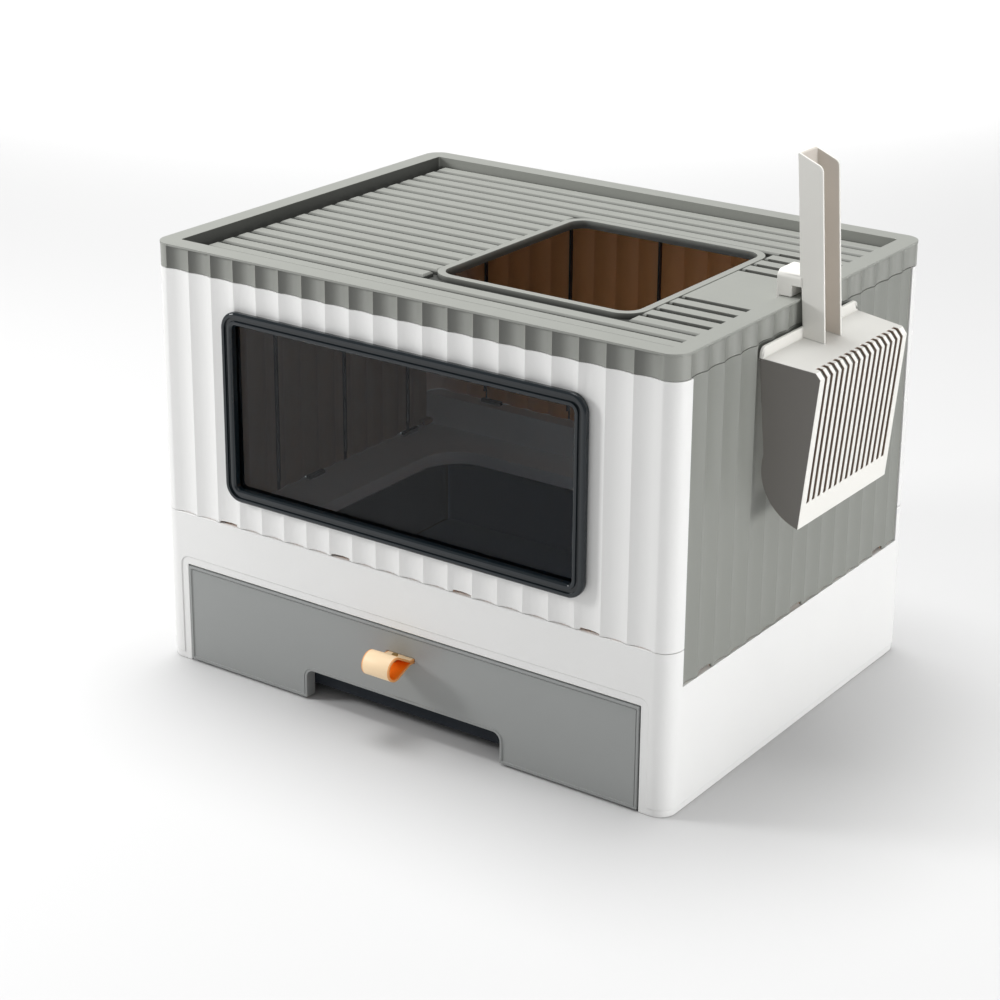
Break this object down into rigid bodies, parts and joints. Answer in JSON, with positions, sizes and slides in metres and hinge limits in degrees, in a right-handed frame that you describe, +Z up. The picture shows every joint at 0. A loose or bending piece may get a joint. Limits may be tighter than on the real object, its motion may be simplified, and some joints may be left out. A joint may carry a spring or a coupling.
{
  "type": "top-entry litter box",
  "caption": "Folding top-entry cat litter box: fluted walls, ribbed lid with an entry opening, smoked window, pull-out litter drawer and a scoop hooked on the lid.",
  "frame": {"origin": "middle of the box's footprint, on the floor", "axes": "+X to the right along the window front, +Y from the front to the back, +Z up"},
  "size_m": [0.55, 0.4145, 0.4785],
  "materials": {
    "white_plastic": "satin",
    "grey_plastic": "satin",
    "drawer_grey": "satin",
    "tray_grey": "satin",
    "runner_grey": "matte",
    "window_frame": "gloss",
    "window_smoke": "gloss",
    "strap_orange": "satin",
    "pin_steel": "brushed",
    "screw_steel": "satin",
    "rivet_brass": "satin"
  },
  "bodies": {
    "base": {"base_frame": "white_plastic", "left_runner": "runner_grey", "right_runner": "runner_grey", "runner_screws": "screw_steel", "front_wall": "white_plastic", "back_wall": "white_plastic", "hinge_pins": "pin_steel", "window_bezel": "window_frame", "window_pane": "window_smoke", "window_retainer": "window_frame"},
    "drawer": {"drawer_tray": "tray_grey", "drawer_front": "drawer_grey", "drawer_screws": "screw_steel", "pull_loop": "strap_orange", "pull_rivet": "rivet_brass", "pull_pin": "pin_steel"},
    "lid": {"lid": "grey_plastic"},
    "scoop": {"litter_scoop": "white_plastic"},
    "left_side": {"left_wall": "grey_plastic"},
    "right_side": {"right_wall": "grey_plastic"}
  },
  "joints": [
    {"name": "drawer_slide", "type": "slide", "parent": "base", "child": "drawer", "axis": [0, -1, 0], "range_m": [0, 0.3]},
    {"name": "lid_lift", "type": "slide", "parent": "base", "child": "lid", "axis": [0, 0, 1], "range_m": [0, 0.12]},
    {"name": "scoop_lift", "type": "slide", "parent": "lid", "child": "scoop", "axis": [0, 0, 1], "range_m": [0, 0.06]},
    {"name": "left_fold", "type": "hinge", "parent": "base", "child": "left_side", "pos_m": [-0.242, 0, 0.1078], "axis": [0, 1, 0], "range_deg": [0, 90]},
    {"name": "right_fold", "type": "hinge", "parent": "base", "child": "right_side", "pos_m": [0.242, 0, 0.1078], "axis": [0, -1, 0], "range_deg": [0, 90]}
  ]
}
